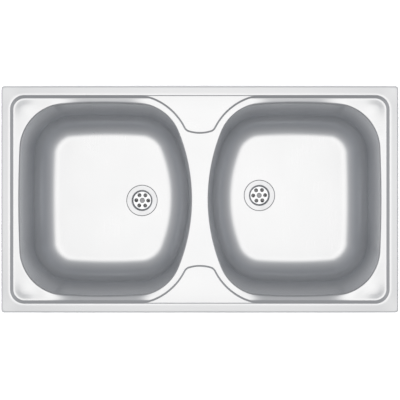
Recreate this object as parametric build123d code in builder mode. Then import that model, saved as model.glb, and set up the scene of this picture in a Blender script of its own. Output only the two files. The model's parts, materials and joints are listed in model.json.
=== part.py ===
from build123d import *
import os
from math import acos, asin, atan2, cos, degrees, hypot, pi, radians, sin, sqrt

os.makedirs("parts", exist_ok=True)

# Frame: the origin is the middle of the worktop cut-out, at the worktop's top face.
# +X runs along the long side, +Y to the rear, +Z up. All sizes are in millimetres.

# ---------------------------------------------------------------- driving dimensions
SHEET = 0.8                  # stainless sheet

# rim and wet deck
OUT_X, OUT_Y, OUT_R = 390.0, 222.5, 6.0      # half length, half width, corner radius
RIM_TOP = 5.0                # raised rim band
LIP_BOTTOM = 0.4             # turned-down edge, clear of the worktop
LIP_R = 2.2                  # radius over the outer edge
STEP_TOP_X, STEP_TOP_Y, STEP_TOP_R = 372.4, 205.0, 28.0
STEP_LOW_X, STEP_LOW_Y, STEP_LOW_R = 366.2, 198.0, 22.0
WET_TOP = 1.5                # wet deck between the step and the bowls
LEDGE_TOP = 4.2              # raised ledges front and back, between the bowls

# ledges: sides concentric with the bowl corners, blunt nose towards the middle
LEDGE_SIDE_C, LEDGE_SIDE_R = (135.8, 87.6), 118.5
LEDGE_NOSE_Y, LEDGE_NOSE_R, LEDGE_TURN_R = 130.6, 73.0, 14.0

# bowls: one outline of tangent arcs, with the same joints at every depth
BOWL_X = 186.3               # middle of a bowl's opening
HALF_BOWL = 171.5
JOINTS = (2.46874, 86.06742, 93.53363, 157.88058)   # where the arcs meet, degrees
TOP_RADII = (2349.543, 93.077, 1147.095, 90.940, 356.003)
LOW_HALF = 156.8
LOW_RADII = (2134.413, 74.728, 1116.408, 87.044, 291.269)
ROLL = 3.5                   # radius over the edge of a bowl
COLLAR_BOTTOM = -6.0         # where a bowl is butt-welded to the deck
FLOOR_TOP = -148.5
FLOOR_R = 45.0

# waste seats, one in each bowl, a little off the middle line
WASTES = {"left": (-125.0, -5.4, -1.2), "right": (125.0, 5.4, 1.8)}
SEAT_R, SEAT_LOW_R, SEAT_DEEP = 33.6, 33.0, 2.2
WASTE_HOLE_R = 25.0

# strainer flange
FLANGE_R = 32.4
FLANGE_EDGE = 0.8            # radius over the flange's edge
RECESS_R = 20.5              # straight wall that the plug seats in
RECESS_ROLL = 2.4
RECESS_FOOT = 2.3
GRID_DEEP = 10.0
GRID_HOLE_R, GRID_PCD = 4.05, 25.4
SCREW_R, SCREW_HEAD_R, SCREW_HEAD_H = 3.0, 5.4, 1.7

# waste body and its outlet thread
OUTLET_R, OUTLET_LONG = 23.9, 22.0
BODY_R, BODY_BORE_R, OUTLET_BORE_R = 26.5, 22.5, 19.0

# clamps: x, y, direction of the parked clip (degrees from +X)
CLAMPS = [
    (358.0, 150.0, 90.0),
    (358.0, -150.0, -90.0),
    (-358.0, 150.0, 90.0),
    (-358.0, -150.0, -90.0),
    (70.0, 197.0, 180.0),
    (-70.0, 197.0, 0.0),
    (70.0, -197.0, 180.0),
    (-70.0, -197.0, 0.0),
]
STUD_R, STUD_END = 2.5, -60.0
STUD_FOOT_R, STUD_FOOT_H = 6.0, 1.4
CLIP_LOW, CLIP_THICK, CLIP_WIDE, CLIP_REACH = -49.2, 2.0, 16.0, 31.0
WASHER_R, WASHER_H = 7.0, 1.0
BORE_R = 2.8                 # hole in clip and washer
NUT_BORE_R = 2.7
GAP = 0.1                    # between clip, washer and nut

# seal and pads
SEAL_IN, SEAL_OUT = 8.0, 1.0     # strip from 8 mm to 1 mm inside the rim's edge
PAD_X, PAD_LONG, PAD_WIDE, PAD_THICK = 236.0, 120.0, 120.0, 2.5


# ---------------------------------------------------------------- outlines
def bowl_arcs(side, half, radii, grow):
    """Start, middle and end of each arc of a bowl's outline, grown outwards by grow."""
    r = [v + grow for v in radii]
    j = [radians(v) for v in JOINTS]
    steps = [(-j[0], j[0], r[0]), (j[0], j[1], r[1]), (j[1], j[2], r[2]),
             (j[2], j[3], r[3]), (j[3], 2 * pi - j[3], r[4]),
             (2 * pi - j[3], 2 * pi - j[2], r[3]),
             (2 * pi - j[2], 2 * pi - j[1], r[2]),
             (2 * pi - j[1], 2 * pi - j[0], r[1])]
    # the arcs start below the point furthest out on the middle line
    x = BOWL_X + half + grow - r[0] + r[0] * cos(j[0])
    y = -r[0] * sin(j[0])
    arcs = []
    for a, b, rad in steps:
        cx, cy = x - rad * cos(a), y - rad * sin(a)
        m = (a + b) / 2
        start = (x, y)
        middle = (cx + rad * cos(m), cy + rad * sin(m))
        x, y = cx + rad * cos(b), cy + rad * sin(b)
        arcs.append((start, middle, (x, y)))
    first = arcs[0][0]
    arcs[-1] = (arcs[-1][0], arcs[-1][1], first)
    return [tuple((side * px, py) for px, py in arc) for arc in arcs]


def draw_bowl(side, half, radii, grow):
    """The face inside a bowl's outline, in the sketch that is open."""
    with BuildLine() as outline:
        for arc in bowl_arcs(side, half, radii, grow):
            ThreePointArc(*arc)
    make_face(outline.edges())


def ledge_points(grow):
    """Corner points of a rear ledge's outline, grown outwards by grow."""
    (ax, ay), ar = LEDGE_SIDE_C, LEDGE_SIDE_R - grow
    nr, tr = LEDGE_NOSE_R + grow, LEDGE_TURN_R + grow
    bx, by = 0.0, LEDGE_NOSE_Y + LEDGE_NOSE_R
    # centre of the turn: outside the side circle, inside the nose circle
    d1, d2 = ar + tr, nr - tr
    dx, dy = bx - ax, by - ay
    d = hypot(dx, dy)
    a = (d1 * d1 - d2 * d2 + d * d) / (2 * d)
    h = sqrt(d1 * d1 - a * a)
    kx = ax + (a * dx + h * dy) / d
    ky = ay + (a * dy - h * dx) / d
    if ky > ay + (a * dy + h * dx) / d:
        kx = ax + (a * dx - h * dy) / d
        ky = ay + (a * dy + h * dx) / d
    on_nose = (bx + (kx - bx) * nr / d2, by + (ky - by) * nr / d2)
    on_side = (ax + (kx - ax) * ar / d1, ay + (ky - ay) * ar / d1)
    return (ax, ay, ar), (kx, ky, tr), (bx, by, nr), on_side, on_nose


def draw_ledge(grow, far_y, rear):
    """The face inside a ledge's outline, out to far_y. rear is +1 or -1."""
    (ax, ay, ar), (kx, ky, tr), (bx, by, nr), on_side, on_nose = ledge_points(grow)
    top_a = asin((far_y - ay) / ar) if far_y - ay < ar else pi / 2
    far = (ax - ar * cos(top_a), ay + ar * sin(top_a))
    side_a0 = atan2(far[1] - ay, far[0] - ax)
    side_a1 = atan2(on_side[1] - ay, on_side[0] - ax)
    m = (side_a0 + side_a1) / 2
    side_mid = (ax + ar * cos(m), ay + ar * sin(m))
    t0 = atan2(on_side[1] - ky, on_side[0] - kx)
    t1 = atan2(on_nose[1] - ky, on_nose[0] - kx)
    m = (t0 + t1) / 2
    turn_mid = (kx + tr * cos(m), ky + tr * sin(m))

    def p(q, s=1):
        return (s * q[0], rear * q[1])

    with BuildLine() as outline:
        Line(p(far, -1), p(far))
        ThreePointArc(p(far), p(side_mid), p(on_side))
        ThreePointArc(p(on_side), p(turn_mid), p(on_nose))
        ThreePointArc(p(on_nose), (0, rear * (by - nr)), p(on_nose, -1))
        ThreePointArc(p(on_nose, -1), p(turn_mid, -1), p(on_side, -1))
        ThreePointArc(p(on_side, -1), p(side_mid, -1), p(far, -1))
    make_face(outline.edges())


# ---------------------------------------------------------------- deck
def recess_form(drop):
    """What the step cuts out of the rim's level: the wet deck, with the ledges left standing."""
    with BuildPart() as form:
        with BuildSketch(Plane.XY.offset(RIM_TOP - drop)):
            RectangleRounded(2 * STEP_TOP_X, 2 * STEP_TOP_Y, STEP_TOP_R)
        with BuildSketch(Plane.XY.offset(WET_TOP - drop)):
            RectangleRounded(2 * STEP_LOW_X, 2 * STEP_LOW_Y, STEP_LOW_R)
        loft(ruled=True)
        rise = LEDGE_TOP - WET_TOP
        for rear in (1, -1):
            with BuildSketch(Plane.XY.offset(WET_TOP - drop)):
                draw_ledge(rise / 2, STEP_TOP_Y + 2, rear)
            with BuildSketch(Plane.XY.offset(LEDGE_TOP - drop)):
                draw_ledge(-rise / 2, STEP_TOP_Y + 2, rear)
            loft(ruled=True, mode=Mode.SUBTRACT)
    return form.part


def deck_form(drop, shrink):
    """The deck as if it were solid: its skin is the top face (drop 0) or the underside."""
    with BuildPart() as form:
        with BuildSketch(Plane.XY.offset(LIP_BOTTOM - shrink)):
            RectangleRounded(2 * (OUT_X - shrink), 2 * (OUT_Y - shrink), OUT_R - shrink)
        extrude(amount=RIM_TOP - drop - LIP_BOTTOM + shrink)
        fillet(form.faces().sort_by(Axis.Z)[-1].edges(), LIP_R - shrink)
        with BuildSketch(Plane.XY.offset(COLLAR_BOTTOM - shrink)):
            RectangleRounded(2 * STEP_LOW_X, 2 * STEP_LOW_Y, STEP_LOW_R)
        extrude(amount=LIP_BOTTOM - COLLAR_BOTTOM + 0.2)
        add(recess_form(drop), mode=Mode.SUBTRACT)
        for side in (1, -1):
            with BuildSketch(Plane.XY.offset(COLLAR_BOTTOM - shrink - 1)):
                draw_bowl(side, HALF_BOWL, TOP_RADII, shrink - ROLL)
            extrude(amount=30, mode=Mode.SUBTRACT)
        # roll over the edge of each bowl
        level = WET_TOP - drop
        around = [
            e for e in form.edges()
            if abs(e.bounding_box().min.Z - level) < 1e-4
            and abs(e.bounding_box().max.Z - level) < 1e-4
            and abs(e.center().Y) < 189.5
            and 12 < abs(e.center().X) < 356
            and not on_ledge(e.center())
        ]
        fillet(around, ROLL - shrink)
    return form.part


def on_ledge(p):
    """Is this point on the foot of a ledge, not on a bowl's edge?"""
    best = 1e9
    for arc in bowl_arcs(1, HALF_BOWL, TOP_RADII, -ROLL):
        (x0, y0), (x1, y1), (x2, y2) = arc
        for q in (arc[0], arc[1], arc[2]):
            best = min(best, hypot(abs(p.X) - q[0], p.Y - q[1]))
    return best > 3.0


with BuildPart() as deck:
    add(deck_form(0.0, 0.0))
    add(deck_form(SHEET, SHEET), mode=Mode.SUBTRACT)
deck.part.label = "deck"
export_step(deck.part, "parts/deck.step")


# ---------------------------------------------------------------- bowls
def bowl_form(side, grow, top):
    """A bowl as if it were solid: its skin is the inside (grow 0) or the outside."""
    x, y, _ = WASTES["right" if side > 0 else "left"]
    floor = FLOOR_TOP - grow
    with BuildPart() as form:
        with BuildSketch(Plane.XY.offset(COLLAR_BOTTOM)):
            draw_bowl(side, HALF_BOWL, TOP_RADII, grow - ROLL)
        with BuildSketch(Plane.XY.offset(floor)):
            draw_bowl(side, LOW_HALF, LOW_RADII, grow)
        loft(ruled=True)
        fillet(form.faces().sort_by(Axis.Z)[0].edges(), FLOOR_R + grow)
        if top > 0:
            with BuildSketch(Plane.XY.offset(COLLAR_BOTTOM)):
                draw_bowl(side, HALF_BOWL, TOP_RADII, grow - ROLL)
            extrude(amount=top)
        with BuildSketch(Plane.XY.offset(floor)):
            with Locations((x, y)):
                Circle(SEAT_R + grow * 0.75)
        with BuildSketch(Plane.XY.offset(floor - SEAT_DEEP)):
            with Locations((x, y)):
                Circle(SEAT_LOW_R + grow * 0.75)
        loft(ruled=True)
    return form.part


def make_bowl(side, name):
    x, y, _ = WASTES[name]
    with BuildPart() as bowl:
        add(bowl_form(side, SHEET, 0.0))
        add(bowl_form(side, 0.0, 1.0), mode=Mode.SUBTRACT)
        with Locations((x, y, FLOOR_TOP - SEAT_DEEP - SHEET)):
            Cylinder(WASTE_HOLE_R, 10, mode=Mode.SUBTRACT)
    bowl.part.label = "bowl_" + name
    export_step(bowl.part, "parts/bowl_" + name + ".step")
    return bowl


bowl_right = make_bowl(1, "right")
bowl_left = make_bowl(-1, "left")

# ---------------------------------------------------------------- rim seal
with BuildPart() as rim_seal:
    with BuildSketch(Plane.XY):
        RectangleRounded(2 * (OUT_X - SEAL_OUT), 2 * (OUT_Y - SEAL_OUT), OUT_R - SEAL_OUT)
        RectangleRounded(2 * (OUT_X - SEAL_IN), 2 * (OUT_Y - SEAL_IN), 4.0,
                         mode=Mode.SUBTRACT)
    extrude(amount=RIM_TOP - SHEET)
    outer = rim_seal.faces().sort_by(Axis.Z)[-1].outer_wire().edges()
    fillet(outer, LIP_R - SHEET + 0.4)
rim_seal.part.label = "rim_seal"
export_step(rim_seal.part, "parts/rim_seal.step")

# ---------------------------------------------------------------- sound pads
for name, side in (("right", 1), ("left", -1)):
    with BuildPart() as sound_pad:
        with BuildSketch(Plane.XY.offset(FLOOR_TOP - SHEET - PAD_THICK)):
            with Locations((side * PAD_X, 0)):
                RectangleRounded(PAD_LONG, PAD_WIDE, 8)
        extrude(amount=PAD_THICK)
        fillet(sound_pad.faces().sort_by(Axis.Z)[0].edges(), 0.8)
    sound_pad.part.label = "sound_pad_" + name
    export_step(sound_pad.part, "parts/sound_pad_" + name + ".step")

# ---------------------------------------------------------------- waste fittings
SEAT_TOP = FLOOR_TOP - SEAT_DEEP             # where the flange seal lies
SEAT_UNDER = SEAT_TOP - SHEET
FLANGE_TOP = FLOOR_TOP + 0.6
GRID_TOP = FLANGE_TOP - GRID_DEEP
BODY_TOP = SEAT_UNDER - 3.0

for name, (wx, wy, turn) in WASTES.items():
    across = Plane(origin=(wx, wy, 0), x_dir=(1, 0, 0), z_dir=(0, -1, 0))
    axis = Axis((wx, wy, 0), (0, 0, 1))
    t = SHEET

    # pressed flange: rim, rolled edge, straight recess wall, flat grid
    with BuildPart() as strainer_flange:
        with BuildSketch(across):
            with BuildLine():
                outer_pts = [
                    (0, GRID_TOP), (RECESS_R - RECESS_FOOT, GRID_TOP),
                    (RECESS_R, GRID_TOP + RECESS_FOOT),
                    (RECESS_R, FLANGE_TOP - RECESS_ROLL),
                    (RECESS_R + RECESS_ROLL, FLANGE_TOP),
                    (FLANGE_R - FLANGE_EDGE, FLANGE_TOP), (FLANGE_R, FLANGE_TOP - FLANGE_EDGE),
                    (FLANGE_R - 0.5, FLANGE_TOP - 1.3),
                    (FLANGE_R - 1.3, FLANGE_TOP - t),
                    (RECESS_R + RECESS_ROLL, FLANGE_TOP - t),
                    (RECESS_R + t, FLANGE_TOP - RECESS_ROLL),
                    (RECESS_R + t, GRID_TOP + RECESS_FOOT),
                    (RECESS_R - RECESS_FOOT, GRID_TOP - t), (0, GRID_TOP - t),
                ]
                p = outer_pts
                Line(p[0], p[1])
                RadiusArc(p[1], p[2], -RECESS_FOOT)
                Line(p[2], p[3])
                RadiusArc(p[3], p[4], RECESS_ROLL)
                Line(p[4], p[5])
                RadiusArc(p[5], p[6], FLANGE_EDGE)
                Line(p[6], p[7])
                Line(p[7], p[8])
                Line(p[8], p[9])
                RadiusArc(p[9], p[10], -(RECESS_ROLL - t))
                Line(p[10], p[11])
                RadiusArc(p[11], p[12], RECESS_FOOT + t)
                Line(p[12], p[13])
                Line(p[13], p[0])
            make_face()
        revolve(axis=axis)
        with BuildSketch(Plane.XY.offset(GRID_TOP - t - 1)):
            with Locations(Location((wx, wy), turn)):
                with PolarLocations(GRID_PCD / 2, 6):
                    Circle(GRID_HOLE_R)
                Circle(SCREW_R + 0.2)
        extrude(amount=t + 2, mode=Mode.SUBTRACT)
        rim_of_holes = [
            e for e in strainer_flange.edges().filter_by(GeomType.CIRCLE)
            if abs(e.radius - GRID_HOLE_R) < 0.01 and abs(e.center().Z - GRID_TOP) < 0.01
        ]
        fillet(rim_of_holes, 0.3)
    strainer_flange.part.label = "strainer_flange_" + name
    export_step(strainer_flange.part, "parts/strainer_flange_" + name + ".step")

    # screw in the middle of the grid, with a slotted pan head
    with BuildPart() as grid_screw:
        with BuildSketch(Plane.XY.offset(GRID_TOP)):
            with Locations((wx, wy)):
                Circle(SCREW_HEAD_R)
        extrude(amount=SCREW_HEAD_H)
        fillet(grid_screw.faces().sort_by(Axis.Z)[-1].edges(), 0.9)
        with BuildSketch(Plane.XY.offset(GRID_TOP + SCREW_HEAD_H)):
            with Locations(Location((wx, wy), turn * 9 + 35)):
                Rectangle(14, 1.4)
        extrude(amount=-1.0, mode=Mode.SUBTRACT)
        with BuildSketch(Plane.XY.offset(GRID_TOP)):
            with Locations((wx, wy)):
                Circle(SCREW_R)
        extrude(amount=-22)
        fillet(grid_screw.faces().sort_by(Axis.Z)[0].edges(), 0.6)
    grid_screw.part.label = "grid_screw_" + name
    export_step(grid_screw.part, "parts/grid_screw_" + name + ".step")

    # seal under the flange's rim, inside the bowl's seat
    with BuildPart() as flange_seal:
        with BuildSketch(Plane.XY.offset(SEAT_TOP)):
            with Locations((wx, wy)):
                Circle(31.0)
                Circle(25.4, mode=Mode.SUBTRACT)
        extrude(amount=FLANGE_TOP - SHEET - SEAT_TOP)
    flange_seal.part.label = "flange_seal_" + name
    export_step(flange_seal.part, "parts/flange_seal_" + name + ".step")

    # gasket between the bowl's underside and the waste body
    with BuildPart() as bowl_gasket:
        with BuildSketch(Plane.XY.offset(BODY_TOP)):
            with Locations((wx, wy)):
                Circle(32.5)
                Circle(25.6, mode=Mode.SUBTRACT)
        extrude(amount=SEAT_UNDER - BODY_TOP)
    bowl_gasket.part.label = "bowl_gasket_" + name
    export_step(bowl_gasket.part, "parts/bowl_gasket_" + name + ".step")

    # waste body: flange, cup, three webs to a middle boss, and the outlet
    WEB_TOP, WEB_LOW = BODY_TOP - 8.0, BODY_TOP - 19.0
    CONE_LOW = WEB_LOW - 8.0
    OUT_TOP = CONE_LOW - 2.0
    OUT_LOW = OUT_TOP - OUTLET_LONG
    with BuildPart() as waste_body:
        with BuildSketch(across):
            with BuildLine():
                Polyline(
                    (BODY_BORE_R, BODY_TOP), (33.5, BODY_TOP), (33.5, BODY_TOP - 3.0),
                    (BODY_R, BODY_TOP - 4.0), (BODY_R, OUT_TOP), (OUTLET_R, OUT_TOP),
                    (OUTLET_R, OUT_LOW + 1.0), (OUTLET_R - 1.0, OUT_LOW),
                    (OUTLET_BORE_R, OUT_LOW), (OUTLET_BORE_R, CONE_LOW),
                    (BODY_BORE_R, WEB_LOW), (BODY_BORE_R, BODY_TOP),
                )
            make_face()
        revolve(axis=axis)
        with BuildSketch(Plane.XY.offset(WEB_LOW)):
            with Locations(Location((wx, wy), 30)):
                Circle(8.5)
                with PolarLocations(15.5, 3):
                    Rectangle(17, 3)
        extrude(amount=WEB_TOP - WEB_LOW)
        with BuildSketch(Plane.XY.offset(BODY_TOP - 4.0)):
            with Locations(Location((wx, wy), 15)):
                with PolarLocations(28.5, 6):
                    Rectangle(8, 2.4)
        extrude(amount=-22)
        with BuildSketch(Plane.XY.offset(WEB_TOP + 1)):
            with Locations((wx, wy)):
                Circle(SCREW_R + 0.2)
        extrude(amount=-20, mode=Mode.SUBTRACT)
        with BuildSketch(Plane.XY.offset(WEB_LOW - 0.5)):
            with Locations((wx, wy)):
                RegularPolygon(5.1, 6, major_radius=False)
        extrude(amount=6.5, mode=Mode.SUBTRACT)
    waste_body.part.label = "waste_body_" + name
    export_step(waste_body.part, "parts/waste_body_" + name + ".step")

    # brass nut held in the boss
    with BuildPart() as screw_nut:
        with BuildSketch(Plane.XY.offset(WEB_LOW + 1.0)):
            with Locations((wx, wy)):
                RegularPolygon(5.0, 6, major_radius=False)
                Circle(SCREW_R + 0.02, mode=Mode.SUBTRACT)
        extrude(amount=5.0)
    screw_nut.part.label = "screw_nut_" + name
    export_step(screw_nut.part, "parts/screw_nut_" + name + ".step")

# ---------------------------------------------------------------- clamp studs
with BuildPart() as clamp_studs:
    with BuildSketch(Plane.XY.offset(WET_TOP - SHEET)):
        with Locations(*[(x, y) for x, y, _ in CLAMPS[:4]]):
            Circle(STUD_FOOT_R)
    extrude(amount=-STUD_FOOT_H)
    with BuildSketch(Plane.XY.offset(WET_TOP - SHEET)):
        with Locations(*[(x, y) for x, y, _ in CLAMPS[:4]]):
            Circle(STUD_R)
    extrude(amount=STUD_END - WET_TOP + SHEET)
    with BuildSketch(Plane.XY.offset(LEDGE_TOP - SHEET)):
        with Locations(*[(x, y) for x, y, _ in CLAMPS[4:]]):
            Circle(STUD_FOOT_R)
    extrude(amount=-STUD_FOOT_H)
    with BuildSketch(Plane.XY.offset(LEDGE_TOP - SHEET)):
        with Locations(*[(x, y) for x, y, _ in CLAMPS[4:]]):
            Circle(STUD_R)
    extrude(amount=STUD_END - LEDGE_TOP + SHEET)
    tips = [e for e in clamp_studs.edges().filter_by(GeomType.CIRCLE)
            if abs(e.center().Z - STUD_END) < 0.01]
    chamfer(tips, 0.6)
clamp_studs.part.label = "clamp_studs"
export_step(clamp_studs.part, "parts/clamp_studs.step")

# ---------------------------------------------------------------- clamps
WASHER_TOP = CLIP_LOW - GAP
NUT_TOP = WASHER_TOP - WASHER_H - GAP

for number, (cx, cy, parked) in enumerate(CLAMPS, 1):
    along = (cos(radians(parked)), sin(radians(parked)), 0)
    side_normal = (sin(radians(parked)), -cos(radians(parked)), 0)
    profile = Plane(origin=(cx, cy, 0), x_dir=along, z_dir=side_normal)
    flat = Plane(origin=(cx, cy, 0), x_dir=along, z_dir=(0, 0, 1))
    low, high = CLIP_LOW, CLIP_LOW + CLIP_THICK

    # bent strip: flat round the stud, cranked up to a toothed jaw
    with BuildPart() as clip:
        with BuildSketch(profile):
            with BuildLine():
                Polyline(
                    (-8, low), (22, low), (CLIP_REACH, low + 6.2),
                    (CLIP_REACH, low + 9.0), (CLIP_REACH - 0.7, low + 8.0),
                    (CLIP_REACH - 1.4, low + 9.0), (CLIP_REACH - 2.1, low + 8.0),
                    (CLIP_REACH - 2.6, low + 9.0), (CLIP_REACH - 2.6, low + 7.1),
                    (21.2, high), (-8, high), (-8, low),
                )
            make_face()
        extrude(amount=CLIP_WIDE / 2, both=True)
        ends = [e for e in clip.edges().filter_by(Axis.Z)
                if abs((e.center() - Vector(cx, cy, e.center().Z)).dot(Vector(*along)) + 8) < 0.01]
        fillet(ends, 7.9)
        with BuildSketch(flat.offset(low - 1)):
            Circle(BORE_R)
        extrude(amount=CLIP_THICK + 2, mode=Mode.SUBTRACT)
        # pressed stiffening dent along the strip
        with BuildSketch(flat.offset(high)):
            with Locations((13.5, 0)):
                SlotOverall(13, 4)
        extrude(amount=-0.7, mode=Mode.SUBTRACT)
    clip.part.label = "clip_" + str(number)
    export_step(clip.part, "parts/clip_" + str(number) + ".step")

    with BuildPart() as washer:
        with BuildSketch(flat.offset(WASHER_TOP)):
            Circle(WASHER_R)
            Circle(BORE_R, mode=Mode.SUBTRACT)
        extrude(amount=-WASHER_H)
    washer.part.label = "washer_" + str(number)
    export_step(washer.part, "parts/washer_" + str(number) + ".step")

    # wing nut: tapered hub and two wings
    with BuildPart() as wing_nut:
        with BuildSketch(flat.offset(NUT_TOP)):
            Circle(5.0)
        extrude(amount=-6.0, taper=8)
        with BuildSketch(profile):
            for s in (1, -1):
                with BuildLine():
                    Polyline(
                        (s * 3.2, NUT_TOP - 1.0), (s * 5.6, NUT_TOP - 1.6),
                        (s * 10.6, NUT_TOP - 6.4), (s * 11.4, NUT_TOP - 9.6),
                        (s * 9.8, NUT_TOP - 11.4), (s * 7.2, NUT_TOP - 10.6),
                        (s * 3.4, NUT_TOP - 5.8), (s * 3.2, NUT_TOP - 1.0),
                    )
                make_face()
        extrude(amount=1.2, both=True)
        with BuildSketch(flat.offset(NUT_TOP + 1)):
            Circle(NUT_BORE_R)
        extrude(amount=-9, mode=Mode.SUBTRACT)
    wing_nut.part.label = "wing_nut_" + str(number)
    export_step(wing_nut.part, "parts/wing_nut_" + str(number) + ".step")
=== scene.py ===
import json
import math

import bpy
import numpy as np
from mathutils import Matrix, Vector
from mathutils.geometry import delaunay_2d_cdt


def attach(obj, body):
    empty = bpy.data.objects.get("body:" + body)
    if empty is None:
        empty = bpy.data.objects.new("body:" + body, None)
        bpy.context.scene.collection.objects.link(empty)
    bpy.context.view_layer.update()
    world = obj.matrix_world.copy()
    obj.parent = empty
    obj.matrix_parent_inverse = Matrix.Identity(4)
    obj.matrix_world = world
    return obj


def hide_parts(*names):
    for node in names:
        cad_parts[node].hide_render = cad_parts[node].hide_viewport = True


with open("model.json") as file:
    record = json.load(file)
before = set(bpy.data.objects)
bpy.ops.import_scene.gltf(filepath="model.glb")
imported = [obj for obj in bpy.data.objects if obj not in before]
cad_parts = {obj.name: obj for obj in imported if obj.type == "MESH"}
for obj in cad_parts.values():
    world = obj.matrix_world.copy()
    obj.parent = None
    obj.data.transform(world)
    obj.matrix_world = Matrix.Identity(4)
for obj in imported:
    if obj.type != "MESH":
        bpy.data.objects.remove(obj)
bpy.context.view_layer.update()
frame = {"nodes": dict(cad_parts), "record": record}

# Lengths below are in millimetres, in the frame of the part: +X along the long side,
# +Y to the rear, +Z up, worktop face at z = 0. Meshes are written in metres.
MM = 0.001
SHEET = 0.8
OUT_X, OUT_Y, OUT_R, LIP_R, LIP_BOTTOM = 390.0, 222.5, 6.0, 2.2, 0.4
RIM_TOP, RIM_EDGE = 5.0, 4.42
STEP_X, STEP_Y, STEP_R = (372.8, 366.0), (205.0, 198.0), (28.0, 22.0)
WET, LEDGE = 1.5, 4.2
SIDE_C, SIDE_R = (135.8, 87.6), 118.5
NOSE_C, NOSE_R, TURN_R = (0.0, 203.6), 73.0, 14.0
BOWL_X = 186.3
HALF_TOP, HALF_LOW = 171.5, 156.8
JOINTS = np.radians([2.46874, 86.06742, 93.53363, 157.88058])
TOP_RADII = (2349.543, 93.077, 1147.095, 90.940, 356.003)
LOW_RADII = (2134.413, 74.728, 1116.408, 87.044, 291.269)
ROLL_TIGHT, ROLL_OPEN, COLLAR = 2.4, 5.4, -6.0     # over the bowl edge: short sides, long sides
FLOOR = -148.5
WASTES = {1: (125.0, 5.4), -1: (-125.0, -5.4)}

# ------------------------------------------------------------------ camera
cam_data = bpy.data.cameras.new("camera")
cam = bpy.data.objects.new("camera", cam_data)
bpy.context.scene.collection.objects.link(cam)
CAM = (22.0, 36.0, 1805.0)
cam.location = [c * MM for c in CAM]
cam.rotation_euler = (0.0, 0.0, 0.0)
cam_data.sensor_fit = "HORIZONTAL"
cam_data.sensor_width = 36.0
cam_data.lens = 82.58
cam_data.shift_x = -0.0276
cam_data.shift_y = -0.0474
cam_data.clip_start = 0.05
cam_data.clip_end = 50.0
bpy.context.scene.camera = cam


# ------------------------------------------------------------------ helpers
def smooth(a, b, x):
    t = np.clip((x - a) / (b - a), 0.0, 1.0)
    return t * t * (3.0 - 2.0 * t)


def add_mesh(name, verts, faces, sharp=38.0):
    me = bpy.data.meshes.new(name)
    me.from_pydata([tuple(v) for v in np.asarray(verts) * MM], [], faces)
    me.update()
    me.polygons.foreach_set("use_smooth", [True] * len(me.polygons))
    me.set_sharp_from_angle(angle=math.radians(sharp))
    ob = bpy.data.objects.new(name, me)
    bpy.context.scene.collection.objects.link(ob)
    return ob


# ------------------------------------------------------------------ outlines
def bowl_outline(theta, half, radii, grow):
    """Points of a right-hand bowl's outline whose outward normal points along theta."""
    j = JOINTS
    rr = np.array([radii[0], radii[1], radii[2], radii[3], radii[4],
                   radii[3], radii[2], radii[1]]) + grow
    starts = np.array([-j[0], j[0], j[1], j[2], j[3],
                       2 * math.pi - j[3], 2 * math.pi - j[2], 2 * math.pi - j[1]])
    ends = np.append(starts[1:], 2 * math.pi - j[0])
    x = BOWL_X + half + grow - rr[0] + rr[0] * math.cos(j[0])
    y = -rr[0] * math.sin(j[0])
    cx, cy = [], []
    for r, a, b in zip(rr, starts, ends):
        cx.append(x - r * math.cos(a))
        cy.append(y - r * math.sin(a))
        x, y = cx[-1] + r * math.cos(b), cy[-1] + r * math.sin(b)
    k = np.clip(np.searchsorted(starts, theta, side="right") - 1, 0, 7)
    cx, cy = np.array(cx), np.array(cy)
    return np.stack([cx[k] + rr[k] * np.cos(theta), cy[k] + rr[k] * np.sin(theta)], 1)


def bowl_angles():
    j = JOINTS
    marks = [-j[0], j[0], j[1], j[2], j[3], 2 * math.pi - j[3],
             2 * math.pi - j[2], 2 * math.pi - j[1], 2 * math.pi - j[0]]
    counts = [50, 60, 38, 48, 74, 48, 38, 60]
    parts = [np.linspace(a, b, n, endpoint=False)
             for a, b, n in zip(marks[:-1], marks[1:], counts)]
    return np.concatenate(parts)


THETA = bowl_angles()
NORMAL = np.stack([np.cos(THETA), np.sin(THETA)], 1)
T_LINE = bowl_outline(THETA, HALF_TOP, TOP_RADII, 0.0)
B_LINE = bowl_outline(THETA, HALF_LOW, LOW_RADII, 0.0)
# wall: the straight line from the foot that touches the roll at the edge
REACH = np.sum((T_LINE - B_LINE) * NORMAL, 1)
SLIP = (T_LINE - B_LINE) - REACH[:, None] * NORMAL     # sideways shift, foot to edge
FLOOR_R = 45.0 + 2.0 * smooth(0.3, 0.9, np.cos(THETA))
ROLL = ROLL_TIGHT + (ROLL_OPEN - ROLL_TIGHT) * smooth(0.955, 1.0, np.abs(np.sin(THETA)))
RISE = WET - ROLL - FLOOR

SLOPE = math.radians(36.0)
TOP_ROLL, BASE_ROLL = 1.0, 1.3
RUN_TOP = TOP_ROLL * math.sin(SLOPE)
RUN_BASE = BASE_ROLL * math.sin(SLOPE)
DROP_TOP = TOP_ROLL * (1 - math.cos(SLOPE))
DROP_BASE = BASE_ROLL * (1 - math.cos(SLOPE))
RUN_MID = (RIM_TOP - WET - DROP_TOP - DROP_BASE) / math.tan(SLOPE)
RUN = RUN_TOP + RUN_MID + RUN_BASE


def step_profile(t):
    """1 on the rim, 0 on the wet deck; t 0 at the rim's edge of the step, 1 at its foot."""
    d = np.clip(t, 0, 1) * RUN
    drop = np.where(
        d < RUN_TOP, TOP_ROLL - np.sqrt(np.maximum(TOP_ROLL ** 2 - d ** 2, 0)),
        np.where(d < RUN_TOP + RUN_MID, DROP_TOP + (d - RUN_TOP) * math.tan(SLOPE),
                 (RIM_TOP - WET) - (BASE_ROLL - np.sqrt(np.maximum(
                     BASE_ROLL ** 2 - np.clip(RUN - d, 0, None) ** 2, 0)))))
    return 1.0 - drop / (RIM_TOP - WET)


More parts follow.
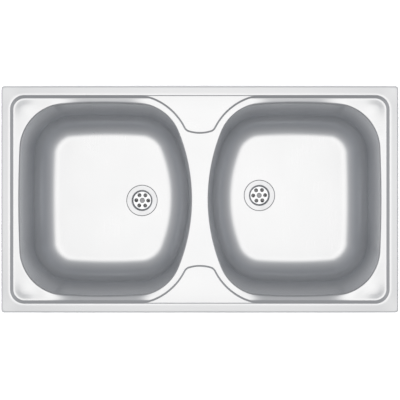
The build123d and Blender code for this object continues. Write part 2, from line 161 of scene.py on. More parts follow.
def rect_distance(p, hx, hy, r):
    """Signed distance to a rounded rectangle, positive outside."""
    qx = np.abs(p[:, 0]) - (hx - r)
    qy = np.abs(p[:, 1]) - (hy - r)
    return np.hypot(np.maximum(qx, 0), np.maximum(qy, 0)) + np.minimum(np.maximum(qx, qy), 0) - r


def step_param(p):
    """t of the step at each point, from the distances to its two outlines."""
    d0 = rect_distance(p, STEP_X[0], STEP_Y[0], STEP_R[0])      # negative inside
    d1 = rect_distance(p, STEP_X[1], STEP_Y[1], STEP_R[1])
    gap = d1 - d0
    return -d0 / gap


def ledge_parts(g):
    (ax, ay), ar = SIDE_C, SIDE_R - g
    nr, tr = NOSE_R + g, TURN_R + g
    bx, by = NOSE_C
    d1, d2 = ar + tr, nr - tr
    dx, dy = bx - ax, by - ay
    d = math.hypot(dx, dy)
    a = (d1 * d1 - d2 * d2 + d * d) / (2 * d)
    h = math.sqrt(d1 * d1 - a * a)
    opts = [(ax + (a * dx + s * h * dy) / d, ay + (a * dy - s * h * dx) / d) for s in (1, -1)]
    kx, ky = min(opts, key=lambda q: q[1])
    on_nose = (bx + (kx - bx) * nr / d2, by + (ky - by) * nr / d2)
    on_side = (ax + (kx - ax) * ar / d1, ay + (ky - ay) * ar / d1)
    return (kx, ky), on_side, on_nose


TURN_C, ON_SIDE, ON_NOSE = ledge_parts(0.0)


def ledge_distance(p):
    """Signed distance to the nearer ledge's outline, positive outside."""
    x, y = np.abs(p[:, 0]), np.abs(p[:, 1])
    d_side = SIDE_R - np.hypot(x - SIDE_C[0], y - SIDE_C[1])
    d_nose = np.hypot(x - NOSE_C[0], y - NOSE_C[1]) - NOSE_R
    kx, ky = TURN_C
    d_turn = np.hypot(x - kx, y - ky) - TURN_R
    ux, uy = ON_SIDE[0] - kx, ON_SIDE[1] - ky
    vx, vy = ON_NOSE[0] - kx, ON_NOSE[1] - ky
    px, py = x - kx, y - ky
    s = math.copysign(1.0, ux * vy - uy * vx)
    wedge = (s * (ux * py - uy * px) >= 0) & (s * (px * vy - py * vx) >= 0)
    d = np.where(y > ky, d_side, np.maximum(d_side, d_nose))
    # past the top of the side circle the ledge's edge runs on along the step
    d = np.where(x > SIDE_C[0], SIDE_R - np.abs(y - SIDE_C[1]), d)
    return np.where(wedge, d_turn, d)


LEDGE_SLOPE = math.radians(40.0)
L_TOP, L_BASE = 1.5, 1.7
L_RISE = LEDGE - WET
L_RUN_T, L_RUN_B = L_TOP * math.sin(LEDGE_SLOPE), L_BASE * math.sin(LEDGE_SLOPE)
L_D_T, L_D_B = L_TOP * (1 - math.cos(LEDGE_SLOPE)), L_BASE * (1 - math.cos(LEDGE_SLOPE))
L_MID = (L_RISE - L_D_T - L_D_B) / math.tan(LEDGE_SLOPE)
L_RUN = L_RUN_T + L_MID + L_RUN_B


def ledge_profile(d):
    """1 on a ledge, 0 on the wet deck; d is the distance out from the slope's middle."""
    e = np.clip(d + L_RUN / 2, 0, L_RUN)
    drop = np.where(
        e < L_RUN_T, L_TOP - np.sqrt(np.maximum(L_TOP ** 2 - e ** 2, 0)),
        np.where(e < L_RUN_T + L_MID, L_D_T + (e - L_RUN_T) * math.tan(LEDGE_SLOPE),
                 L_RISE - (L_BASE - np.sqrt(np.maximum(
                     L_BASE ** 2 - np.clip(L_RUN - e, 0, None) ** 2, 0)))))
    return 1.0 - drop / L_RISE


CORNER_RISE = 1.15
EASE_OUT, EASE_IN, EASE_SPAN = 0.16, 0.17, 3.8     # rim and wet deck bend gently into the step
# how far the land tips into a bowl along its long sides, rear and front
DRAW_REAR, DRAW_FRONT = math.tan(math.radians(12.0)), math.tan(math.radians(16.5))


def deck_height(p):
    t = step_param(p)
    a = step_profile(t)
    b = ledge_profile(ledge_distance(p))
    # the narrow land between a bowl's long sides and the step tips into the bowl
    rear = p[:, 1] > 0
    ax = np.abs(p[:, 0])
    q = np.maximum(STEP_Y[1] + np.where(rear, 0.4, 1.0) - np.abs(p[:, 1]), 0)
    share = np.where(rear, smooth(86.0, 146.0, ax) * (1 - smooth(228.0, 298.0, ax)),
                     smooth(76.0, 132.0, ax) * (1 - smooth(246.0, 312.0, ax)))
    draw = np.where(rear, DRAW_REAR, DRAW_FRONT)
    land = WET - draw * share * np.where(q < 0.8, q * q / 1.6, q - 0.4)
    # the thin step at the far end of a ledge
    a2 = 1.0 - smooth(0.02, 0.36, t)
    # a ledge runs down a little towards its nose
    ledge = LEDGE - 1.0 * (1 - smooth(136.0, 196.0, np.abs(p[:, 1])))
    d_foot = -rect_distance(p, STEP_X[1], STEP_Y[1], STEP_R[1])
    land = land + EASE_IN * (1 - share) * np.clip(1 - d_foot / EASE_SPAN, 0, 1) ** 2
    h = (1 - b) * (land + (RIM_TOP - land) * a) + b * (ledge + (RIM_TOP - ledge) * a2)
    # the rim falls away a little towards its outer edge
    out = rect_distance(p, STEP_X[0], STEP_Y[0], STEP_R[0])
    edge = rect_distance(p, OUT_X - LIP_R, OUT_Y - LIP_R, OUT_R - LIP_R)
    h = h - EASE_OUT * (1 - b) * np.where(out < 0, 1 - smooth(0.0, 1.0, t), np.clip(
        1 - out / EASE_SPAN, 0, 1) ** 2)
    width = np.maximum(out - edge, 1.0)
    f = np.clip((out - 1.6) / (width - 1.6), 0, 1)
    soft = np.where(f < 0.16, f * f / 0.32, f - 0.08) / 0.92
    h = h - (RIM_TOP - RIM_EDGE) * soft
    # the wet deck swells a little in its four corners
    qx, qy = STEP_X[1] - np.abs(p[:, 0]), STEP_Y[1] - np.abs(p[:, 1])
    corner = np.exp(-((qx - 22.0) ** 2 + (qy - 19.0) ** 2) / (2 * 12.5 ** 2))
    return h + CORNER_RISE * corner * smooth(1.0, 2.6, t)


# the roll over a bowl's edge starts along the land's own slope
T_Z = deck_height(T_LINE)
LEAN = np.arctan((deck_height(T_LINE + 0.4 * NORMAL) - T_Z) / 0.4)
ROLL_OUT = REACH + ROLL * np.sin(LEAN)            # the roll's centre, from the foot
ROLL_UP = T_Z - ROLL * np.cos(LEAN) - FLOOR
DRAFT = np.arctan2(ROLL_OUT, ROLL_UP) - np.arcsin(ROLL / np.hypot(ROLL_OUT, ROLL_UP))


def roll_row(share, inner):
    """A row on the roll over the bowl's edge: share 0 on the deck, 1 at the wall."""
    r = ROLL if inner else ROLL - SHEET
    a = LEAN + (math.pi / 2 - DRAFT - LEAN) * share
    out = ROLL * np.sin(LEAN) - r * np.sin(a)
    z = T_Z - ROLL * np.cos(LEAN) + r * np.cos(a)
    return np.column_stack([T_LINE + out[:, None] * NORMAL, z])


def wall_row(z, inner):
    """A row on the straight wall at height z."""
    f = (z - FLOOR) / RISE
    out = (z - FLOOR) * np.tan(DRAFT)
    if not inner:
        out = out + SHEET / np.cos(DRAFT)
    xy = B_LINE + out[:, None] * NORMAL + SLIP * f[:, None]
    return np.column_stack([xy, z])


FOOT_IN = FLOOR_R * (1 - np.sin(DRAFT)) / np.cos(DRAFT)     # flat floor starts this far in
FILLET_TOP = FLOOR + FLOOR_R * (1 - np.sin(DRAFT))


def foot_row(t, inner):
    """A row on the fillet at the foot: t 0 at the wall, 1 at the flat floor."""
    r = FLOOR_R if inner else FLOOR_R + SHEET
    a = DRAFT + (math.pi / 2 - DRAFT) * t          # turn of the normal from the horizontal
    out = -FOOT_IN + r * np.cos(a)
    z = FLOOR + FLOOR_R - r * np.sin(a)
    f = np.clip((z - FLOOR) / RISE, 0, 1)
    return np.column_stack([B_LINE + out[:, None] * NORMAL + SLIP * f[:, None], z])


# ------------------------------------------------------------------ bowls
def bowl_mesh(side):
    wx, wy = WASTES[side]
    wx = abs(wx)                        # made as the right-hand bowl, then mirrored
    flat = (B_LINE - FOOT_IN[:, None] * NORMAL)
    ang = np.arctan2(flat[:, 1] - wy, flat[:, 0] - wx)
    ring_dir = np.stack([np.cos(ang), np.sin(ang)], 1)
    centre = np.array([wx, wy])

    def circle(r, z):
        return np.column_stack([centre + r * ring_dir, np.full(len(THETA), z)])

    def floor_rows(drop):
        rows = []
        for u in (0.03, 0.07, 0.12, 0.18, 0.25, 0.33, 0.42, 0.52, 0.62, 0.72, 0.82, 0.90, 0.96):
            xy = (1 - u) * flat + u * (centre + 35.6 * ring_dir)
            rows.append(np.column_stack([xy, np.full(len(THETA), FLOOR - drop)]))
        return rows

    seat = [(35.6, 0.0), (33.9, 0.0), (33.3, 0.01), (33.05, 0.05), (32.9, 0.14), (32.8, 0.3),
            (32.75, 0.6), (32.7, 1.3), (32.65, 1.9), (32.6, 2.08), (32.5, 2.18), (32.3, 2.2),
            (31.0, 2.2), (28.0, 2.2), (25.0, 2.2)]
    z0 = np.full(len(THETA), COLLAR)
    inner = [wall_row(z0, True)]
    for s in (0.12, 0.26, 0.42, 0.6, 0.78, 0.9):
        inner.append(wall_row(z0 + (FILLET_TOP - z0) * s, True))
    for t in np.linspace(0, 1, 27):
        inner.append(foot_row(t, True))
    inner += floor_rows(0.0)
    inner += [circle(r, FLOOR - d) for r, d in seat]
    outer = [wall_row(z0, False)]
    for s in (0.25, 0.6, 0.9):
        outer.append(wall_row(z0 + (FILLET_TOP - z0) * s, False))
    for t in np.linspace(0, 1, 15):
        outer.append(foot_row(t, False))
    outer += floor_rows(SHEET)[2::3]
    outer += [circle(r + (0.6 if 31.5 < r < 33.5 else 0.0), FLOOR - d - SHEET) for r, d in seat]
    rows = inner + outer[::-1]
    n = len(THETA)
    verts = np.concatenate(rows)
    faces = []
    for k in range(len(rows)):
        a, b = k * n, ((k + 1) % len(rows)) * n
        for i in range(n):
            q = (i + 1) % n
            f = (a + i, a + q, b + q, b + i)
            faces.append(f)
    if side < 0:
        # mirrored in x, and its waste lies on the other side of the middle line
        verts = verts * np.array([-1.0, 1.0, 1.0])
        faces = [f[::-1] for f in faces]
    return verts, faces


def make_bowl(side, name):
    verts, faces = bowl_mesh(side)
    return add_mesh("basin_" + name, verts, faces)


# ------------------------------------------------------------------ deck
def rounded_rect(hx, hy, r, spacing=4.0, corner=14):
    """Counter-clockwise points of a rounded rectangle, the same count for every size."""
    pts = []
    nx, ny = 180, 96
    for cx, cy, a0 in ((1, 1, 0.0), (-1, 1, 90.0), (-1, -1, 180.0), (1, -1, 270.0)):
        for a in np.radians(np.linspace(a0, a0 + 90.0, corner + 1)):
            pts.append((cx * (hx - r) + r * math.cos(a), cy * (hy - r) + r * math.sin(a)))
        # the straight that follows this corner
        n = nx if a0 in (0.0, 180.0) else ny
        x0, y0 = pts[-1]
        if a0 == 0.0:
            end = (-(hx - r), hy)
        elif a0 == 90.0:
            end = (-hx, -(hy - r))
        elif a0 == 180.0:
            end = (hx - r, -hy)
        else:
            end = (hx, hy - r)
        for k in range(1, n):
            f = k / n
            pts.append((x0 + (end[0] - x0) * f, y0 + (end[1] - y0) * f))
    return np.array(pts)


def ledge_line(g, y_far=206.0):
    """Points along a rear ledge's outline, grown outwards by g, from right to left."""
    k, on_side, on_nose = ledge_parts(g)
    ar, tr, nr = SIDE_R - g, TURN_R + g, NOSE_R + g
    far = min((y_far - SIDE_C[1]) / ar, 1.0)
    a0 = math.pi - math.asin(far)
    a1 = math.atan2(on_side[1] - SIDE_C[1], on_side[0] - SIDE_C[0])
    if a1 < 0:
        a1 += 2 * math.pi
    pts = [(SIDE_C[0] + ar * math.cos(a), SIDE_C[1] + ar * math.sin(a))
           for a in np.linspace(a0, a1, 44, endpoint=False)]
    t0 = math.atan2(on_side[1] - k[1], on_side[0] - k[0])
    t1 = math.atan2(on_nose[1] - k[1], on_nose[0] - k[0])
    pts += [(k[0] + tr * math.cos(a), k[1] + tr * math.sin(a))
            for a in np.linspace(t0, t1, 12, endpoint=False)]
    n0 = math.atan2(on_nose[1] - NOSE_C[1], on_nose[0] - NOSE_C[0])
    pts += [(NOSE_C[0] + nr * math.cos(a), NOSE_C[1] + nr * math.sin(a))
            for a in np.linspace(n0, -math.pi / 2, 10)]
    right = np.array(pts)
    left = right[::-1][1:] * np.array([-1.0, 1.0])
    return np.concatenate([right, left])


def deck_mesh():
    pts, edges = [], []

    def add_loop(q, closed=True):
        base = len(pts)
        pts.extend(map(tuple, q))
        n = len(q)
        for i in range(n if closed else n - 1):
            edges.append((base + i, base + (i + 1) % n))
        return list(range(base, base + n))

    rim = add_loop(rounded_rect(OUT_X - LIP_R, OUT_Y - LIP_R, OUT_R - LIP_R))
    holes = {}
    for side in (1, -1):
        q = T_LINE * np.array([side, 1.0])
        holes[side] = add_loop(q)
    for f in (0.12, 0.3, 0.5, 0.66, 0.76, 0.82, 0.87, 0.91, 0.95):
        # between the rim's edge and the step
        hx = (OUT_X - LIP_R) * (1 - f) + STEP_X[0] * f
        hy = (OUT_Y - LIP_R) * (1 - f) + STEP_Y[0] * f
        r = (OUT_R - LIP_R) * (1 - f) + STEP_R[0] * f
        add_loop(rounded_rect(hx, hy, r))
    for t in (-0.12, 0.0, 0.05, 0.09, 0.13, 0.17, 0.21, 0.26, 0.32, 0.40, 0.50, 0.60, 0.68,
              0.74, 0.80, 0.86, 0.92, 0.97, 1.0, 1.07, 1.18, 1.34, 1.56):
        hx = STEP_X[0] + (STEP_X[1] - STEP_X[0]) * t
        hy = STEP_Y[0] + (STEP_Y[1] - STEP_Y[0]) * t
        r = STEP_R[0] + (STEP_R[1] - STEP_R[0]) * t
        q = rounded_rect(hx, hy, r)
        add_loop(q)
    for rear in (1, -1):
        for g in (-3.2, -2.2, -1.95, -1.75, -1.5, -1.2, -0.8, 0.0, 0.8, 1.2, 1.5, 1.75, 1.95,
                  2.2, 3.2):
            q = ledge_line(g, 205.6)
            add_loop(q * np.array([1.0, rear]), closed=False)
    # scattered points: fine in the corners, coarse elsewhere
    extra = []
    for sx in (1, -1):
        for sy in (1, -1):
            for x in np.arange(268.0, 366.0, 3.0):
                for y in np.arange(128.0, 198.0, 3.0):
                    extra.append((sx * x, sy * y))
    for x in np.arange(-360.0, 361.0, 9.0):
        for y in np.arange(-193.0, 194.0, 9.0):
            extra.append((x, y))
    extra = np.array(extra)
    far = step_param(extra) > 2.3
    keep = far & (np.abs(ledge_distance(extra)) > 4.2)
    corner_zone = (np.abs(extra[:, 0]) > 266) & (np.abs(extra[:, 1]) > 126)
    on_fine = np.arange(len(extra)) < 4 * len(np.arange(268.0, 366.0, 3.0)) * len(
        np.arange(128.0, 198.0, 3.0))
    keep &= ~corner_zone | on_fine
    for side in (1, -1):
        q = T_LINE * np.array([side, 1.0])
        keep &= ~inside_poly(extra, grow_poly(q, side, 3.0))
    pts.extend(map(tuple, extra[keep]))
    out = delaunay_2d_cdt([Vector(p) for p in pts], edges, [], 0, 1e-5, True)
    v2 = np.array([tuple(v) for v in out[0]])
    tris = np.array([f for f in out[2] if len(f) == 3])
    where = {}
    for new, olds in enumerate(out[3]):
        for o in olds:
            where[o] = new
    mid = v2[tris].mean(1)
    ok = np.ones(len(tris), bool)
    for side in (1, -1):
        ok &= ~inside_poly(mid, T_LINE * np.array([side, 1.0]))
    tris = tris[ok]
    # counter-clockwise from above
    e1 = v2[tris[:, 1]] - v2[tris[:, 0]]
    e2 = v2[tris[:, 2]] - v2[tris[:, 0]]
    turn = e1[:, 0] * e2[:, 1] - e1[:, 1] * e2[:, 0]
    tris[turn < 0] = tris[turn < 0][:, ::-1]
    tris = tris[np.abs(turn) > 1e-9]
    used = np.unique(tris)
    index = -np.ones(len(v2), int)
    index[used] = np.arange(len(used))
    v2, tris = v2[used], index[tris]
    rim = [index[where[i]] for i in rim]
    holes = {s: [index[where[i]] for i in h] for s, h in holes.items()}
    h = deck_height(v2)
    e = 0.05
    gx = (deck_height(v2 + [e, 0]) - deck_height(v2 - [e, 0])) / (2 * e)
    gy = (deck_height(v2 + [0, e]) - deck_height(v2 - [0, e])) / (2 * e)
    nrm = np.stack([-gx, -gy, np.ones(len(v2))], 1)
    nrm /= np.linalg.norm(nrm, axis=1)[:, None]
    top = np.column_stack([v2, h])
    low = top - SHEET * nrm
    n = len(top)
    verts = [top, low]
    count = 2 * n
    faces = [tuple(map(int, f)) for f in tris] + [tuple(int(i) + n for i in f[::-1]) for f in tris]

    def strip(rows):
        """Quads between loops of vertex indices, facing outwards for a loop seen from above."""
        for ra, rb in zip(rows[:-1], rows[1:]):
            m = len(ra)
            for i in range(m):
                q = (i + 1) % m
                faces.append((int(ra[i]), int(rb[i]), int(rb[q]), int(ra[q])))

    # the lip: over the outer edge, down, and back up inside
    base = rounded_rect(OUT_X - LIP_R, OUT_Y - LIP_R, OUT_R - LIP_R)
    edge = rounded_rect(OUT_X, OUT_Y, OUT_R)
    out_dir = (edge - base) / LIP_R
    rows = [rim]
    z_edge = h[rim[0]]

    def loop_at(off, z):
        nonlocal count
        q = np.column_stack([base + out_dir * off, np.full(len(base), z)])
        verts.append(q)
        rows.append(list(range(count, count + len(q))))
        count += len(q)

    for a in np.radians([15, 30, 45, 60, 75, 90]):
        loop_at(LIP_R * math.sin(a), z_edge - LIP_R * (1 - math.cos(a)))
    loop_at(LIP_R, 1.3)
    loop_at(LIP_R, LIP_BOTTOM + 0.12)
    loop_at(LIP_R - 0.12, LIP_BOTTOM)
    loop_at(LIP_R - SHEET + 0.12, LIP_BOTTOM)
    loop_at(LIP_R - SHEET, LIP_BOTTOM + 0.12)
    loop_at(LIP_R - SHEET, z_edge - LIP_R)
    for a in np.radians([67, 45, 22]):
        loop_at((LIP_R - SHEET) * math.sin(a), z_edge - LIP_R + (LIP_R - SHEET) * math.cos(a))
    rows.append([i + n for i in rim])
    strip(rows)

    # the roll over each bowl's edge, down to where the bowl is welded on
    for side in (1, -1):
        rows = [holes[side]]
        flip = np.array([side, 1.0, 1.0])
        z0 = np.full(len(THETA), COLLAR)
        made = [roll_row(a, True) for a in (0.1, 0.2, 0.32, 0.44, 0.56, 0.68, 0.8, 0.9, 1.0)]
        made.append(wall_row(z0, True))
        made.append(wall_row(z0, False))
        made += [roll_row(a, False) for a in (1.0, 0.8, 0.6, 0.4, 0.2)]
        for q in made:
            verts.append(q * flip)
            rows.append(list(range(count, count + len(q))))
            count += len(q)
        rows.append([i + n for i in holes[side]])
        if side > 0:
            rows = [r[::-1] for r in rows]
        strip(rows)
    return np.concatenate(verts), faces


def inside_poly(p, poly):
    x, y = p[:, 0], p[:, 1]
    inside = np.zeros(len(p), bool)
    x0, y0 = poly[-1]
    for x1, y1 in poly:
        cross = (y1 > y) != (y0 > y)
        if y0 != y1:
            at = (x0 - x1) * (y - y1) / (y0 - y1) + x1
            inside ^= cross & (x < at)
        x0, y0 = x1, y1
    return inside


def grow_poly(q, side, g):
    return q + g * NORMAL * np.array([side, 1.0])


# ------------------------------------------------------------------ materials
def new_material(name):
    m = bpy.data.materials.new(name)
    m.use_nodes = True
    nt = m.node_tree
    bsdf = nt.nodes["Principled BSDF"]
    return m, nt, bsdf


def node(nt, kind, **kw):
    n = nt.nodes.new(kind)
    for k, v in kw.items():
        setattr(n, k, v)
    return n


def math_node(nt, op, a, b=None, clamp=False):
    n = node(nt, "ShaderNodeMath", operation=op, use_clamp=clamp)
    for i, v in enumerate((a, b)):
        if v is None:
            continue
        if isinstance(v, (int, float)):
            n.inputs[i].default_value = v
        else:
            nt.links.new(v, n.inputs[i])
    return n.outputs[0]


def remap(nt, value, a, b, c, d, smoothed=True):
    n = node(nt, "ShaderNodeMapRange")
    n.interpolation_type = "SMOOTHSTEP" if smoothed else "LINEAR"
    nt.links.new(value, n.inputs["Value"])
    n.inputs["From Min"].default_value = a
    n.inputs["From Max"].default_value = b
    n.inputs["To Min"].default_value = c
    n.inputs["To Max"].default_value = d
    return n.outputs["Result"]


def noise(nt, vec, scale, stretch=(1, 1, 1), detail=3.0, rough=0.5, w=0.0):
    mp = node(nt, "ShaderNodeMapping")
    mp.inputs["Scale"].default_value = stretch
    mp.inputs["Location"].default_value = (w, w * 0.7, w * 1.3)
    nt.links.new(vec, mp.inputs["Vector"])
    t = node(nt, "ShaderNodeTexNoise")
    t.inputs["Scale"].default_value = scale
    t.inputs["Detail"].default_value = detail
    t.inputs["Roughness"].default_value = rough
    nt.links.new(mp.outputs[0], t.inputs["Vector"])
    return t.outputs[0]


def sink_steel():
    m, nt, bsdf = new_material("sink_steel")
    tc = node(nt, "ShaderNodeTexCoord")
    obj = tc.outputs["Object"]
    sep = node(nt, "ShaderNodeSeparateXYZ")
    nt.links.new(obj, sep.inputs[0])
    ax = math_node(nt, "ABSOLUTE", sep.outputs[0])
    # grain along X everywhere but on the short sides of the rim and in the bowls
    along_x = noise(nt, obj, 1.0, (9, 900, 900), 4.0, 0.6, 0.3)
    along_y = noise(nt, obj, 1.0, (900, 9, 900), 4.0, 0.6, 1.7)
    side = remap(nt, ax, 0.366, 0.374, 0.0, 1.0)
    low = remap(nt, sep.outputs[2], -0.004, 0.0, 1.0, 0.0)
    pick = math_node(nt, "MAXIMUM", side, low)
    mix = node(nt, "ShaderNodeMix", data_type="FLOAT")
    nt.links.new(pick, mix.inputs[0])
    nt.links.new(along_x, mix.inputs[2])
    nt.links.new(along_y, mix.inputs[3])
    grain = mix.outputs[0]
    cloud = noise(nt, obj, 9.0, (1, 1, 1), 4.0, 0.55, 4.2)
    geo = node(nt, "ShaderNodeNewGeometry")
    nsep = node(nt, "ShaderNodeSeparateXYZ")
    nt.links.new(geo.outputs["Normal"], nsep.inputs[0])
    inbowl = remap(nt, sep.outputs[2], -0.001, -0.006, 0.0, 1.0)
    # roughness: satin, smoother where the sheet was drawn over the tool, with the grain
    # and soft cloudy patches in it
    z = sep.outputs[2]
    on_wall = math_node(nt, "MULTIPLY", remap(nt, z, -0.001, -0.006, 0.0, 1.0),
                        remap(nt, z, -0.085, -0.112, 1.0, 0.0))
    on_foot = math_node(nt, "MULTIPLY", remap(nt, z, -0.095, -0.118, 0.0, 1.0),
                        remap(nt, z, -0.1405, -0.1475, 1.0, 0.0))
    level = math_node(nt, "ADD", STEEL["rough"], math_node(
        nt, "ADD", math_node(nt, "MULTIPLY", on_wall, STEEL["rough_wall"] - STEEL["rough"]),
        math_node(nt, "MULTIPLY", on_foot, STEEL["rough_foot"] - STEEL["rough"])))
    r1 = remap(nt, grain, 0.3, 0.7, -0.012, 0.012, False)
    r2 = remap(nt, cloud, 0.3, 0.7, -0.015, 0.015, False)
    nt.links.new(math_node(nt, "ADD", level, math_node(nt, "ADD", r1, r2)),
                 bsdf.inputs["Roughness"])
    # colour: neutral steel, a little cooler and duller where the sheet was drawn
    ramp = node(nt, "ShaderNodeMix", data_type="RGBA")
    ramp.inputs[6].default_value = STEEL["flat"] + (1.0,)
    ramp.inputs[7].default_value = STEEL["drawn"] + (1.0,)
    steep = remap(nt, nsep.outputs[2], 0.985, 0.80, 0.0, 1.0)
    nt.links.new(math_node(nt, "MULTIPLY", steep, inbowl), ramp.inputs[0])
    vary = node(nt, "ShaderNodeMix", data_type="RGBA", blend_type="MULTIPLY")
    vary.inputs[0].default_value = 1.0
    nt.links.new(ramp.outputs[2], vary.inputs[6])
    g2 = math_node(nt, "MULTIPLY", remap(nt, grain, 0.3, 0.7, 0.985, 1.0, False),
                   remap(nt, cloud, 0.3, 0.7, 0.975, 1.0, False))
    comb = node(nt, "ShaderNodeCombineColor")
    for i in range(3):
        nt.links.new(g2, comb.inputs[i])
    nt.links.new(comb.outputs[0], vary.inputs[7])
    nt.links.new(vary.outputs[2], bsdf.inputs["Base Color"])
    bsdf.inputs["Metallic"].default_value = 1.0
    bump = node(nt, "ShaderNodeBump")
    bump.inputs["Strength"].default_value = 0.02
    bump.inputs["Distance"].default_value = 0.0001
    nt.links.new(grain, bump.inputs["Height"])
    nt.links.new(bump.outputs[0], bsdf.inputs["Normal"])
    return m


STEEL = {"rough": 0.29, "rough_wall": 0.21, "rough_foot": 0.36, "flat": (0.798, 0.796, 0.794),
         "drawn": (0.77, 0.78, 0.795)}


def metal(name, colour, rough, scale, stretch=(1, 1, 1), grain=0.05, bump=0.05):
    """Turned or plated metal. Returns the material and, for more colour work, its parts."""
    m, nt, bsdf = new_material(name)
    tc = node(nt, "ShaderNodeTexCoord")
    obj = tc.outputs["Object"]
    g = noise(nt, obj, scale, stretch, 4.0, 0.6, 2.0)
    patches = noise(nt, obj, scale * 0.11, (1, 1, 1), 3.0, 0.5, 5.0)
    r1 = remap(nt, g, 0.3, 0.7, rough - grain, rough + grain, False)
    r2 = remap(nt, patches, 0.3, 0.7, -grain * 0.6, grain * 0.6, False)
    nt.links.new(math_node(nt, "ADD", r1, r2), bsdf.inputs["Roughness"])
    mix = node(nt, "ShaderNodeMix", data_type="RGBA")
    mix.inputs[6].default_value = tuple(c * 0.9 for c in colour) + (1.0,)
    mix.inputs[7].default_value = tuple(colour) + (1.0,)
    nt.links.new(remap(nt, patches, 0.3, 0.7, 0.0, 1.0), mix.inputs[0])
    nt.links.new(mix.outputs[2], bsdf.inputs["Base Color"])
    bsdf.inputs["Metallic"].default_value = 1.0
    b = node(nt, "ShaderNodeBump")
    b.inputs["Strength"].default_value = bump
    b.inputs["Distance"].default_value = 0.0002
    nt.links.new(g, b.inputs["Height"])
    nt.links.new(b.outputs[0], bsdf.inputs["Normal"])
    return m, nt, bsdf, obj, mix.outputs[2]


def waste_radius(nt, obj):
    """Distance from the axis of the nearer waste."""
    sep = node(nt, "ShaderNodeSeparateXYZ")
    nt.links.new(obj, sep.inputs[0])
    # the two wastes lie opposite each other about the middle of the sink
    half = math_node(nt, "SIGN", sep.outputs[0])
    dx = math_node(nt, "SUBTRACT", sep.outputs[0], math_node(nt, "MULTIPLY", half, WASTES[1][0] * MM))
    dy = math_node(nt, "SUBTRACT", sep.outputs[1], math_node(nt, "MULTIPLY", half, WASTES[1][1] * MM))
    near = math_node(nt, "SQRT", math_node(nt, "ADD", math_node(nt, "MULTIPLY", dx, dx),
                                           math_node(nt, "MULTIPLY", dy, dy)))
    geo = node(nt, "ShaderNodeNewGeometry")
    nsep = node(nt, "ShaderNodeSeparateXYZ")
    nt.links.new(geo.outputs["Normal"], nsep.inputs[0])
    return near, sep.outputs[2], nsep.outputs[2], half, dx, dy


def scaled(nt, colour, factor):
    comb = node(nt, "ShaderNodeCombineColor")
    for i in range(3):
        nt.links.new(factor, comb.inputs[i])
    mul = node(nt, "ShaderNodeMix", data_type="RGBA", blend_type="MULTIPLY")
    mul.inputs[0].default_value = 1.0
    nt.links.new(colour, mul.inputs[6])
    nt.links.new(comb.outputs[0], mul.inputs[7])
    return mul.outputs[2]


def flange_steel():
    """Polished, a little duller on the rim."""
    m, nt, bsdf, obj, colour = metal("flange_steel", (0.80, 0.80, 0.805), 0.2, 260.0, (1, 1, 1),
                                     0.02, 0.02)
    r, z, up, x, dx, dy = waste_radius(nt, obj)
    rim = remap(nt, r, 0.0215, 0.0235, 1.0, 0.84)
    nt.links.new(scaled(nt, colour, rim), bsdf.inputs["Base Color"])
    return m


def screw_steel():
    """Duller, greyer steel than the flange."""
    return metal("screw_steel", (0.32, 0.32, 0.325), 0.3, 420.0, (1, 1, 1), 0.05, 0.08)[0]


def soft(name, dark, light, rough, scale, bump=0.3, dist=0.0003):
    m, nt, bsdf = new_material(name)
    tc = node(nt, "ShaderNodeTexCoord")
    obj = tc.outputs["Object"]
    g = noise(nt, obj, scale, (1, 1, 1), 5.0, 0.6, 2.0)
    broad = noise(nt, obj, scale * 0.06, (1, 1, 1), 3.0, 0.5, 7.0)
    mix = node(nt, "ShaderNodeMix", data_type="RGBA")
    mix.inputs[6].default_value = tuple(dark) + (1.0,)
    mix.inputs[7].default_value = tuple(light) + (1.0,)
    nt.links.new(remap(nt, broad, 0.3, 0.7, 0.0, 1.0), mix.inputs[0])
    nt.links.new(mix.outputs[2], bsdf.inputs["Base Color"])
    nt.links.new(remap(nt, g, 0.3, 0.7, rough - 0.07, rough + 0.07, False),
                 bsdf.inputs["Roughness"])
    b = node(nt, "ShaderNodeBump")
    b.inputs["Strength"].default_value = bump
    b.inputs["Distance"].default_value = dist
    nt.links.new(g, b.inputs["Height"])
    nt.links.new(b.outputs[0], bsdf.inputs["Normal"])
    return m


STEEL_MAT = sink_steel()
MATS = {
    "sink_steel": STEEL_MAT,
    "flange_steel": flange_steel(),
    "screw_steel": screw_steel(),
    "clamp_steel": metal("clamp_steel", (0.60, 0.61, 0.62), 0.34, 500.0, (1, 1, 1), 0.08, 0.1)[0],
    "clip_steel": metal("clip_steel", (0.58, 0.59, 0.60), 0.30, 300.0, (1, 1, 4), 0.07, 0.12)[0],
    "brass": metal("brass", (0.72, 0.53, 0.25), 0.3, 500.0, (1, 1, 6), 0.06, 0.1)[0],
    "seal_rubber": soft("seal_rubber", (0.012, 0.012, 0.012), (0.02, 0.02, 0.02), 0.72, 900.0),
    "seal_foam": soft("seal_foam", (0.02, 0.02, 0.021), (0.035, 0.035, 0.036), 0.9, 1600.0, 0.8),
    "pad_rubber": soft("pad_rubber", (0.022, 0.022, 0.023), (0.034, 0.034, 0.036), 0.85, 700.0, 0.6),
    "waste_plastic": soft("waste_plastic", (0.006, 0.006, 0.007), (0.010, 0.010, 0.011), 0.42, 500.0, 0.12),
}

# ------------------------------------------------------------------ sink
verts, faces = deck_mesh()
deck = add_mesh("pressed_deck", verts, faces, 50.0)
deck.data.materials.append(STEEL_MAT)
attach(deck, "root")
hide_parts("deck")

for side, name in ((1, "right"), (-1, "left")):
    basin = make_bowl(side, name)
    basin.data.materials.append(STEEL_MAT)
    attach(basin, "root")
    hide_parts("bowl_" + name)

slots = {s["node"]: s["material_slot"] for s in frame["record"]["subparts"]}
for name, ob in frame["nodes"].items():
    mat = MATS[slots[name]]
    ob.data.materials.clear()
    ob.data.materials.append(mat)

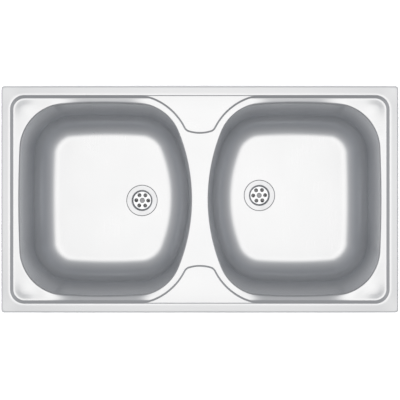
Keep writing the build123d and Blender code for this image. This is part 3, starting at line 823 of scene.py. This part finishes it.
# ------------------------------------------------------------------ stage and light
floor_me = bpy.data.meshes.new("floor")
s = 6.0
z = -0.2075
floor_me.from_pydata([(-s, -s, z), (s, -s, z), (s, s, z), (-s, s, z)], [], [(0, 1, 2, 3)])
floor = bpy.data.objects.new("floor", floor_me)
bpy.context.scene.collection.objects.link(floor)
fm, fnt, fb = new_material("floor")
fb.inputs["Base Color"].default_value = (0.86, 0.86, 0.86, 1)
fb.inputs["Roughness"].default_value = 0.9
floor_me.materials.append(fm)

sun_data = bpy.data.lights.new("overhead", "SUN")
sun_data.energy = 3.2
sun_data.angle = math.radians(36)
sun = bpy.data.objects.new("overhead", sun_data)
bpy.context.scene.collection.objects.link(sun)
sun.visible_glossy = False


def grey_ramp(nt, fac, stops):
    """Brightness along an angle, from (degrees, brightness) stops."""
    r = node(nt, "ShaderNodeValToRGB")
    r.color_ramp.interpolation = "EASE"
    els = r.color_ramp.elements
    while len(els) < len(stops):
        els.new(0.5)
    for e, (deg, v) in zip(els, stops):
        e.position = deg / 120.0
        e.color = (v * 0.5, v * 0.5, v * 0.5, 1.0)
    nt.links.new(fac, r.inputs[0])
    return math_node(nt, "MULTIPLY", r.outputs[0], 2.0)


def build_world():
    w = bpy.data.worlds.new("studio")
    bpy.context.scene.world = w
    w.use_nodes = True
    nt = w.node_tree
    nt.nodes.clear()
    out = node(nt, "ShaderNodeOutputWorld")
    tc = node(nt, "ShaderNodeTexCoord")
    sep = node(nt, "ShaderNodeSeparateXYZ")
    nt.links.new(tc.outputs["Generated"], sep.inputs[0])
    x, y, z = sep.outputs
    angle = math_node(nt, "MULTIPLY", math_node(nt, "ARCCOSINE", z), 180.0 / math.pi)
    fac = math_node(nt, "DIVIDE", angle, 120.0)
    flat2 = math_node(nt, "MAXIMUM", math_node(nt, "SUBTRACT", 1.0,
                                               math_node(nt, "MULTIPLY", z, z)), 1e-5)
    total = None
    for axis, sign, key in ((x, 1, "right"), (x, -1, "left"), (y, 1, "rear"), (y, -1, "front")):
        side = math_node(nt, "MAXIMUM", math_node(nt, "MULTIPLY", axis, float(sign)), 0.0)
        weight = math_node(nt, "DIVIDE", math_node(nt, "MULTIPLY", side, side), flat2)
        part = math_node(nt, "MULTIPLY", weight, grey_ramp(nt, fac, WORLD[key]))
        total = part if total is None else math_node(nt, "ADD", total, part)
    # cooler away from the overhead panel
    cool = remap(nt, total, 0.5, 1.1, 1.0, 0.0)
    tint = node(nt, "ShaderNodeCombineColor")
    for i, k in enumerate(WORLD["tint"]):
        f = math_node(nt, "ADD", math_node(nt, "MULTIPLY", cool, k - 1.0), 1.0)
        nt.links.new(math_node(nt, "MULTIPLY", total, f), tint.inputs[i])
    bg = node(nt, "ShaderNodeBackground")
    nt.links.new(tint.outputs[0], bg.inputs[0])
    plain = node(nt, "ShaderNodeBackground")
    plain.inputs[0].default_value = (1, 1, 1, 1)
    plain.inputs[1].default_value = 1.0
    lp = node(nt, "ShaderNodeLightPath")
    ms = node(nt, "ShaderNodeMixShader")
    nt.links.new(lp.outputs["Is Camera Ray"], ms.inputs[0])
    nt.links.new(bg.outputs[0], ms.inputs[1])
    nt.links.new(plain.outputs[0], ms.inputs[2])
    nt.links.new(ms.outputs[0], out.inputs[0])
    return w


# brightness of the studio by the angle from straight up, towards each side
CAP = 1.43
WORLD = {
    "right": [(0, CAP), (15, CAP), (26, 0.56), (38, 0.45), (50, 0.37), (72, 0.42), (82, 0.38),
              (92, 0.34), (120, 0.3)],
    "left": [(0, CAP), (16, CAP), (27, 0.56), (38, 0.46), (50, 0.40), (72, 0.44), (82, 0.40),
             (92, 0.36), (120, 0.3)],
    "rear": [(0, CAP), (11, CAP), (19, 0.50), (30, 0.40), (55, 0.34), (72, 0.36), (92, 0.34),
             (120, 0.3)],
    "front": [(0, CAP), (11, CAP), (21, 0.50), (32, 0.41), (50, 0.32), (70, 0.30), (92, 0.31),
              (120, 0.3)],
    "tint": (0.965, 0.99, 1.04)}
build_world()
bpy.context.scene.view_settings.view_transform = "Standard"
